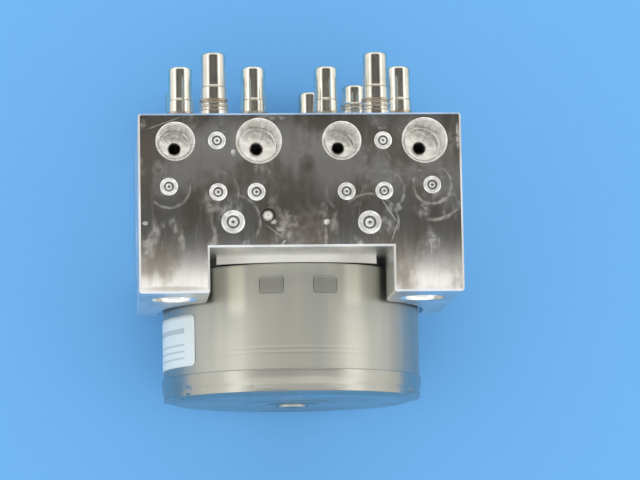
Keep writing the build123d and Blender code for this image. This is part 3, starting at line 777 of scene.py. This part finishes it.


def punched_plug():
    """Bright punched steel: satin from the punch, with painted shade in the groove and in the dimple."""
    shader, where = finish("plug_punched", (0.92, 0.915, 0.9), 0.4)
    z = parts(where)[2]
    patches = remap(noise(where, 420, detail=4), 0.38, 0.64)
    grit = noise(where, 1300, detail=3)
    # Painted shade: the base colour darkens below the face, in the groove and in the dimple.
    deep = remap(z, *(PORT_FACE - depth * MM for depth in SHADE_DEPTH), 0.85, 0)
    base = mix(patches, (0.9, 0.895, 0.88), (0.62, 0.61, 0.59))
    base = mix(deep, base, (0.1, 0.095, 0.085))
    rough = total(product(patches, 0.1), 0.34)
    connect(shader, base, rough, grit, 0.000008)


punched_plug()


def plug_outline(radius):
    """Outline of a plug in mm, from the foot in the bore to the punched dimple."""
    return eased([
        (0, -PLUG_LENGTH), (radius, -PLUG_LENGTH), (radius, -0.02), (0.8 * radius, 0.18),
        (0.58 * radius, 0.02), (0.51 * radius, -0.38), (0.44 * radius, -0.38), (0.3 * radius, 0.08),
        (0.15 * radius, 0.02), (0.07 * radius, -0.42), (0, -0.45),
    ], {2: 0.06, 3: 0.5, 4: 0.1, 5: 0.06, 6: 0.06, 7: 0.2, 8: 0.05}, steps=4) * MM


def plugs(node, radius, places):
    """All plugs of one size as one piece, joined from a lathe surface each."""
    made = []
    for number, (x, y) in enumerate(places):
        origin = (x * MM, y * MM, PORT_FACE)
        outline = plug_outline(radius)
        made.append(lathe(f"{node}_{number}", outline, origin, UP, finishes["plug_punched"], around=64))
    return place(joined(made, node + "_bright"), node)


plugs("passage_plugs_small", SMALL_PLUG_R, SMALL_PLUGS)
plugs("passage_plugs_large", LARGE_PLUG_R, LARGE_PLUGS)
print(len(SMALL_PLUGS) + len(LARGE_PLUGS), "expander plugs")

# %% [markdown]
# ## Motor can
#
# The can is drawn from thin sheet. Two small windows are pressed into it just under the flange,
# deepest at their upper edge, and two faint rings show where the drawing die changed. The wall is
# one lathe surface with a finer spacing at the windows, and the press rule moves it inwards there.

# %% Drawn can
WINDOW_DEPTH = 0.6 * MM
WINDOW_CORNER = 0.9 * MM
DRAW_RINGS = [CAN_TOP - 25.4 * MM, CAN_TOP - 26.8 * MM]
CAN_WALL, CAN_EDGE = 2 * MM, 0.5 * MM
WALL_STEP, WINDOW_STEP = 0.25 * MM, 0.12 * MM  # spacing of the can's rings
NEAR_WINDOWS = 20  # degrees either side of the highest line
FINE_TURN, PLAIN_TURN = 0.25, 2.5  # degrees between points there and elsewhere


def can_press(a, r, s):
    """How far the can's wall stands in at an angle a and a distance s, in metres.

    Each window is a rectangle with round corners: the reach past its edges, max(x, 0) and
    max(y, 0) from the corner's centre, is less than the corner's radius inside it.
    """
    u, v = across(OUT)
    x = r * (np.cos(a) * u[0] + np.sin(a) * v[0])
    z = r * (np.cos(a) * u[2] + np.sin(a) * v[2])
    middle_x, middle_s = sum(WINDOW_X) / 2, (WINDOW_TOP + WINDOW_FOOT) / 2
    past_x = np.abs(np.abs(x) - middle_x) - (WINDOW_X[1] - WINDOW_X[0]) / 2 + WINDOW_CORNER
    past_s = np.abs(s - middle_s) - (WINDOW_TOP - WINDOW_FOOT) / 2 + WINDOW_CORNER
    reach = np.hypot(np.maximum(past_x, 0), np.maximum(past_s, 0)) - WINDOW_CORNER
    pressed = smoothstep(0.1 * MM, -0.12 * MM, reach)
    ramp = 0.55 + 0.45 * smoothstep(WINDOW_FOOT, WINDOW_TOP, s)
    dent = -WINDOW_DEPTH * pressed * ramp * (z > 0)
    for ring in DRAW_RINGS:
        dent = dent - 0.05 * MM * np.exp(-(((s - ring) / (0.25 * MM)) ** 2))
    return np.where(r > CAN_R - CAN_EDGE, dent, 0)


def window_angles():
    """Turn angles with a fine spacing where the windows are, and an even one elsewhere."""
    near = np.arange(-NEAR_WINDOWS, NEAR_WINDOWS, FINE_TURN)
    far = np.arange(NEAR_WINDOWS, 360 - NEAR_WINDOWS, PLAIN_TURN)
    return turn_towards(OUT, UP) + np.radians(np.concatenate([near, far]))


def motor_can():
    """Visual can: outer wall with its presses, rounded top edge and plain inside."""
    foot, top = can_low[1], CAN_TOP
    inner = CAN_R - CAN_WALL
    wall = np.concatenate([
        np.arange(foot + 6 * MM, WINDOW_FOOT - 1 * MM, WALL_STEP),
        np.arange(WINDOW_FOOT - 1 * MM, WINDOW_TOP + 0.6 * MM, WINDOW_STEP),
    ])
    outline = [
        (inner, foot), (CAN_R, foot), *((CAN_R, s) for s in wall), (CAN_R, top - CAN_EDGE),
        (CAN_R - 0.3 * CAN_EDGE, top - 0.3 * CAN_EDGE), (CAN_R - CAN_EDGE, top), (inner, top), (inner, foot),
    ]
    can = lathe(
        "motor_can_drawn", outline, (0, 0, MOTOR_Z), OUT, finishes["can_steel"],
        angles=window_angles(), press=can_press, crease=40,
    )
    return place(can, "motor_can")


can = motor_can()
print("motor can with", len(can.data.polygons), "faces")

# %% [markdown]
# ## Motor end cap
#
# The cap is a second drawn cup that is pressed over the can's end and pinched in three places. Its
# flat carries a low boss in two steps over the rear bearing, and a hub that stands further out.

# %% Pressed cap
cap_low, cap_high = box("motor_end_cap")
BAND_R = (cap_high[0] - cap_low[0]) / 2
BOSS_RISE = 1.2 * MM  # from the flat to the hub's face
BOSS_STEP = 0.25 * MM  # each of the two low steps round the hub
CAP_FLAT = cap_low[1] + BOSS_RISE
CAP_CORNER = 5.2 * MM
PINCHES = [-57, 63, 183]  # degrees round the cap from its highest line
PINCH_DEPTH, PINCH_WIDTH, PINCH_LENGTH = 0.55 * MM, 1.1 * MM, 0.9 * MM
PINCH_LEVEL = CAP_FLAT + 2.6 * MM
SHEET = 0.8 * MM


def cap_press(a, r, s):
    """Depth of the pinches: exp(-(w^2) - l^2), with w and l the way from its middle round and along."""
    front = turn_towards(OUT, UP)
    along = (s - PINCH_LEVEL) / PINCH_LENGTH
    dent = 0
    for angle in PINCHES:
        off = (a - front - radians(angle) + pi) % tau - pi
        width = off * BAND_R / PINCH_WIDTH
        dent = dent - PINCH_DEPTH * np.exp(-(width**2) - along**2)
    return np.where(r > BAND_R - 1.5 * MM, dent, 0)


def motor_end_cap():
    """Visual cap from the can's side out to the hub and back inside."""
    flat, face = CAP_FLAT, cap_low[1]
    boss, seat = flat - BOSS_STEP, flat - 2 * BOSS_STEP
    outline = [
        (0, face + 0.3 * MM), (2.2 * MM, face + 0.3 * MM), (2.6 * MM, face), (5 * MM, face),
        (5.25 * MM, seat), (8.2 * MM, seat), (8.5 * MM, boss), (14.2 * MM, boss), (14.6 * MM, flat),
        (BAND_R, flat), (BAND_R, cap_high[1]), (CAN_R, cap_high[1]), (CAN_R, flat + SHEET * 1.5),
        (8 * MM, flat + SHEET * 1.5), (8 * MM, face + SHEET), (0, face + SHEET),
    ]
    arcs = {3: 0.2 * MM, 4: 0.2 * MM, 7: 0.2 * MM, 8: 0.2 * MM, 9: CAP_CORNER, 10: 0.3 * MM}
    rounded = eased(outline, arcs, steps=10)
    fine = [rounded[0]]
    for start, end in zip(rounded[:-1], rounded[1:]):
        pieces = max(1, int(np.hypot(*(end - start)) / (0.5 * MM))) if start[0] > BAND_R - 1 * MM else 1
        fine += [start + (end - start) * (k + 1) / pieces for k in range(pieces)]
    cap = lathe(
        "motor_end_cap_drawn", fine, (0, 0, MOTOR_Z), OUT, finishes["cap_steel"],
        around=300, press=cap_press, crease=40,
    )
    return place(cap, "motor_end_cap")


motor_end_cap()
print("end cap with", len(PINCHES), "pinches")

# %% [markdown]
# ## Label
#
# A paper label is stuck round the can's side. It is a patch of the can's own curve, a little
# further out, with rounded corners: each point's reach along the can is cut back near the ends by
# the corner's arc.

# %% Curved label
LABEL_ARC = (radians(50.5), radians(114))
LABEL_CORNER = 1.6 * MM
LABEL_TRIM = 1.4 * MM  # how far its lower edge stays short of its solid's
LABEL_LIFT, LABEL_THICK = 0.12 * MM, 0.1 * MM
LABEL_POINTS, CORNER_POINTS, LABEL_ROWS = 60, 9, 13


def motor_label():
    """Curved sheet with rounded corners over the same stretch as its solid.

    At a distance t from the label's end that is less than the corner r, its edge is cut back by
    r - sqrt(r^2 - (r - t)^2).
    """
    low, high = box("motor_label")
    start, end = LABEL_ARC
    corner = LABEL_CORNER
    radius = CAN_R + LABEL_LIFT
    length = (end - start) * radius
    reach = np.concatenate([
        corner * (1 - np.cos(np.linspace(0, pi / 2, CORNER_POINTS))),
        np.linspace(corner, length - corner, LABEL_POINTS)[1:-1],
        length - corner * (1 - np.cos(np.linspace(pi / 2, 0, CORNER_POINTS))),
    ])
    inset = np.maximum(corner - np.minimum(reach, length - reach), 0)
    cut = corner - np.sqrt(corner**2 - inset**2)
    rows = np.linspace(0, 1, LABEL_ROWS)
    foot = low[1] + LABEL_TRIM
    y = (foot + cut)[:, None] + (high[1] - foot - 2 * cut)[:, None] * rows
    angle = start + reach / radius
    x = np.repeat((-radius * np.sin(angle))[:, None], len(rows), axis=1)
    z = np.repeat((MOTOR_Z + radius * np.cos(angle))[:, None], len(rows), axis=1)
    i = np.arange(len(reach) - 1)[:, None] * len(rows)
    j = np.arange(len(rows) - 1)
    corners = [i + j, i + j + 1, i + len(rows) + j + 1, i + len(rows) + j]
    faces = np.stack(corners, axis=-1).reshape(-1, 4).tolist()
    points = np.stack([x, y, z], axis=-1).reshape(-1, 3)
    label = mesh_object("motor_label_sheet", points, faces, finishes["label_paper"])
    thick = label.modifiers.new("thickness", "SOLIDIFY")
    thick.thickness = LABEL_THICK
    thick.offset = 0
    return place(label, "motor_label")


motor_label()
print("label on the can")

# %% [markdown]
# ## Socket screws and plunger plugs
#
# Two screws hold the flange, and a screwed plug closes each plunger bore on the block's sides. Both
# are driven with a hexagon key, so both get a hexagonal socket: rings of points whose radius follows
# the hexagon's sides,  r = apothem / cos(a), with a folded into one sixth of a turn.

# %% Two screws and two plunger plugs
SCREW_SHANK_R, SCREW_HEAD_HEIGHT = 2.5 * MM, 4 * MM
SCREW_SOCKET = (2 * MM, 2.4 * MM)  # apothem and depth
PUMP_PLUG_R, PUMP_PLUG_SPIGOT = 5 * MM, 5 * MM
PUMP_PLUG_SOCKET = (3 * MM, 3 * MM)
SOCKET_FLARE, SOCKET_LEAD = 1.06, 0.3 * MM  # how much wider its mouth is, and for how deep
SOCKET_CONE = 0.6 * MM


def socket_head(name, outline, apothem, depth, origin, axis, material, around=96):
    """Turned surface closed by a hexagonal socket in its top face.

    The outline starts on the axis at the foot and ends at the outer edge of the top face. The
    socket adds three rings with r = apothem / cos(a), and a point below them in the middle.
    """
    a = np.arange(around) * tau / around
    folded = (a + pi / 6) % (pi / 3) - pi / 6
    hexagon = apothem / np.cos(folded)
    foot, *turned = np.array(outline, float)
    top = turned[-1][1]
    radii = [np.full(around, r) for r, _ in turned] + [hexagon * SOCKET_FLARE, hexagon, hexagon]
    levels = [s for _, s in turned] + [top, top - SOCKET_LEAD, top - depth]
    n = np.array(axis, float)
    start = np.array(origin) + foot[1] * n
    end = np.array(origin) + (top - depth - SOCKET_CONE) * n
    return mesh_object(name, *skin(rings_round(origin, axis, a, levels, radii), start, end), material)


def stepped(shank_r, neck, head_r, reach, rim, arc):
    """Outline of a shank and its wider head, which stops a rim's width in from the edge of its top."""
    return eased([
        (0, 0), (shank_r, 0), (shank_r, neck), (head_r, neck), (head_r, reach), (head_r - rim, reach),
    ], {4: arc}, steps=4)


def motor_screws():
    """The two flange screws, their shanks in the block."""
    low, high = box("motor_screws")
    head_r = (high[2] - low[2]) / 2
    reach = high[1] - low[1]
    outline = stepped(SCREW_SHANK_R, reach - SCREW_HEAD_HEIGHT, head_r, reach, 0.9 * MM, 0.4 * MM)
    made = []
    for sign in (-1, 1):
        origin = (sign * (high[0] - head_r), high[1], (high[2] + low[2]) / 2)
        made.append(socket_head("screw", outline, *SCREW_SOCKET, origin, BACK, finishes["screw_steel"]))
    return place(joined(made, "motor_screws_socket"), "motor_screws")


def pump_plug(side, sign):
    """Screwed plug of one plunger bore, flush with the block's side."""
    node = f"pump_plug_{side}"
    low, high = box(node)
    reach = high[0] - low[0]
    radius = (high[2] - low[2]) / 2
    origin = (low[0] if sign > 0 else high[0], (low[1] + high[1]) / 2, (low[2] + high[2]) / 2)
    outline = stepped(PUMP_PLUG_R, PUMP_PLUG_SPIGOT, radius, reach, 1 * MM, 0.35 * MM)
    steel = finishes["plug_bright"]
    plug = socket_head(node + "_socket", outline, *PUMP_PLUG_SOCKET, origin, (sign, 0, 0), steel)
    return place(plug, node)


motor_screws()
for side, sign in SIDES:
    pump_plug(side, sign)
print("two screws and two plunger plugs")

# %% [markdown]
# ## Accumulator springs
#
# A light coil spring stands under each accumulator piston, inside the block. When the brake fluid
# pushes the piston down, the coil shortens. It is a round wire carried along a helix that fills its
# solid's height.

# %% Two coil springs
COIL_R = 4.6 * MM  # middle of the wire
COIL_WIRE = 1.2 * MM
COIL_TURNS = 4
COIL_STEPS, WIRE_SIDES = 48, 12  # points a turn, and round the wire


def accumulator_spring(side):
    """Round wire along a helix that fills its solid's height; it returns how far the piston travels.

    At the turn a the wire's middle is at R (cos a, sin a) and rises evenly. The wire's circle lies
    across the path: w/2 (cos b e + sin b (t x e)), with e outwards and t along the path.
    """
    node, joint_name = f"accumulator_spring_{side}", f"piston_stroke_{side}"
    low, high = box(node)
    length = high[2] - low[2]
    middle = sum(box(f"accumulator_piston_{side}")) / 2
    a = np.linspace(0, COIL_TURNS * tau, COIL_TURNS * COIL_STEPS + 1)
    rise = (length - COIL_WIRE) / a[-1]
    outward = np.stack([np.cos(a), np.sin(a), 0 * a], axis=-1)
    along = np.stack([-COIL_R * np.sin(a), COIL_R * np.cos(a), rise + 0 * a], axis=-1)
    along /= np.linalg.norm(along, axis=1)[:, None]
    beside = np.cross(along, outward)
    path = COIL_R * outward + np.array((middle[0], middle[1], low[2] + COIL_WIRE / 2))
    path[:, 2] += rise * a
    b = np.arange(WIRE_SIDES)[:, None] * tau / WIRE_SIDES
    ring = np.cos(b) * outward[:, None] + np.sin(b) * beside[:, None]
    rings = path[:, None] + COIL_WIRE / 2 * ring
    spring = mesh_object(node + "_coil", *skin(rings, path[0], path[-1]), finishes["spring_steel"])
    place(spring, node)
    travel = max(next(joint for joint in frame["joints"] if joint["name"] == joint_name)["range_m"])
    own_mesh(spring)
    return travel


for side, _ in SIDES:
    print(side, "spring shortens by", round(accumulator_spring(side) / MM, 1), "mm")

# %% [markdown]
# ## Floor and light
#
# The unit rests on the face opposite its ports, on a plain pale blue runner over a white table.
# Light comes softly from all round. Polished metal needs something dark and something bright to
# mirror, so the ceiling has a dark strip with a bright band along its near edge, and a brighter
# panel stands at each side. The flat port face mirrors that edge, so it is dark above and its legs
# end in white, and each round dome shows a dark middle with a white band each side.

# %% Floor and studio
SHEET_BLUE = (0.155, 0.455, 0.89)
SHEET_HALF = (0.21, 3)  # metres, half width and half length
TABLE_WHITE = (0.8, 0.8, 0.79)
TABLE_HALF = (3, 3)
SHEET_LEVEL, TABLE_LEVEL = -0.0002, -0.0006
ROOM_LEVEL = 1.08
SIDE_PANEL = (0.76, 1.2, 1.6, 2.3)  # |v| where a side panel's light starts, is full, ends
SIDE_PANEL_LEVEL = 0.65
STRIP_EDGE = [  # u of the direction, and the level of the ceiling there
    (0.1, 1.08), (0.112, 1.1), (0.1135, 1.65), (0.1165, 1.65), (0.1182, 1.05), (0.1203, 0.74),
    (0.1223, 0.52), (0.1244, 0.34), (0.1262, 0.26), (0.1278, 0.12), (0.13, 0.1), (0.145, 0.11),
    (0.1475, 0.24), (0.156, 0.24), (0.159, 0.2), (0.161, 0.31), (0.17, 0.3), (0.1712, 0.2),
    (0.1725, 0.09), (0.1765, 0.09), (0.18, 0.08),
]
STRIP_FAR = (0.3, 0.52)  # u where the strip starts to fade into the room, and is gone
STRIP_SIDE = (0.52, 1.2)  # and |v|


def flat_stage(name, half_x, half_y, z, colour):
    """Plain flat sheet that the unit stands over, with fibres too fine to show from afar."""
    points = [(x * half_x, y * half_y, z) for x, y in ((-1, -1), (1, -1), (1, 1), (-1, 1))]
    shader, where = finish(name, colour, 0.9, 0)
    fibres = noise(where, 300, detail=2)
    connect(shader, mix(fibres, colour, tuple(0.97 * c for c in colour)))
    mesh_object(name, points, [(0, 1, 2, 3)], finishes[name])


def level_ramp(value, stops):
    """Level that follows a list of (value, level) stops, through a colour ramp scaled to them."""
    first, last, highest = stops[0][0], stops[-1][0], max(level for _, level in stops)
    share = math("DIVIDE", math("SUBTRACT", value, first), last - first)
    made = add(value.id_data, "ValToRGB", {"Fac": share})
    ramp = made.color_ramp
    while len(ramp.elements) < len(stops):
        ramp.elements.new(0.5)
    for element, (at, level) in zip(ramp.elements, stops):
        element.position = (at - first) / (last - first)
        element.color = (*(level / highest,) * 3, 1)
    return math("MULTIPLY", made.outputs["Color"], highest)


def studio_light():
    """Even light from all round, with a dark strip of ceiling that leans towards +Y.

    With u = y / z and v = x / z of the direction looked in, the strip follows the stops of its edge
    from u = 0.10 on, and fades into the room at a larger u and at either side in v.
    """
    world = bpy.data.worlds.new("studio")
    world.use_nodes = True
    tree = world.node_tree
    direction = add(tree, "TexCoord").outputs["Generated"]
    x, y, z = parts(direction)
    height = math("MAXIMUM", z, 0.02)
    u = math("DIVIDE", y, height)
    v = math("ABSOLUTE", math("DIVIDE", x, height))
    strip_level = level_ramp(u, STRIP_EDGE)
    within = product(remap(u, *STRIP_FAR, 1, 0), remap(v, *STRIP_SIDE, 1, 0))
    dip = product(math("SUBTRACT", ROOM_LEVEL, strip_level), within)
    inner, full, fading, outer = SIDE_PANEL
    panel = product(remap(v, inner, full, 0, SIDE_PANEL_LEVEL), remap(v, fading, outer, 1, 0))
    level = total(math("SUBTRACT", ROOM_LEVEL, dip), panel)
    background = tree.nodes["Background"]
    background.inputs["Color"].default_value = (1, 1, 0.99, 1)
    tree.links.new(level, background.inputs["Strength"])
    scene.world = world


flat_stage("blue_sheet", *SHEET_HALF, SHEET_LEVEL, SHEET_BLUE)
flat_stage("white_table", *TABLE_HALF, TABLE_LEVEL, TABLE_WHITE)
studio_light()
scene.view_settings.view_transform = "Standard"
print("room level", ROOM_LEVEL, "with", len(STRIP_EDGE), "stops at the strip's edge")

# %% [markdown]
# ## Camera
#
# The camera stands above the unit and a little to the left, about 0.95 m away with a long lens, so
# the block is seen almost square on with a narrow strip of its depth.

# %% Camera
FRAME_WIDTH = 640  # pixels across the picture
FOCAL_PIXELS = 2908.9
SENSOR = 36  # mm
CLIP = (0.01, 20)
CAMERA_PLACE = (-0.05845, -0.12828, 0.94693)
CAMERA_AXES = Matrix((
    (0.9972, 0.00768, -0.07433),
    (-0.01721, 0.99158, -0.12839),
    (0.07272, 0.12931, 0.98893),
))

camera_data = bpy.data.cameras.new("camera")
camera_data.sensor_width = SENSOR
camera_data.lens = FOCAL_PIXELS / FRAME_WIDTH * SENSOR
camera_data.clip_start, camera_data.clip_end = CLIP
camera = bpy.data.objects.new("camera", camera_data)
camera.matrix_world = Matrix.Translation(CAMERA_PLACE) @ CAMERA_AXES.to_4x4()
scene.collection.objects.link(camera)
scene.camera = camera
print("camera lens", round(camera_data.lens, 1), "mm")
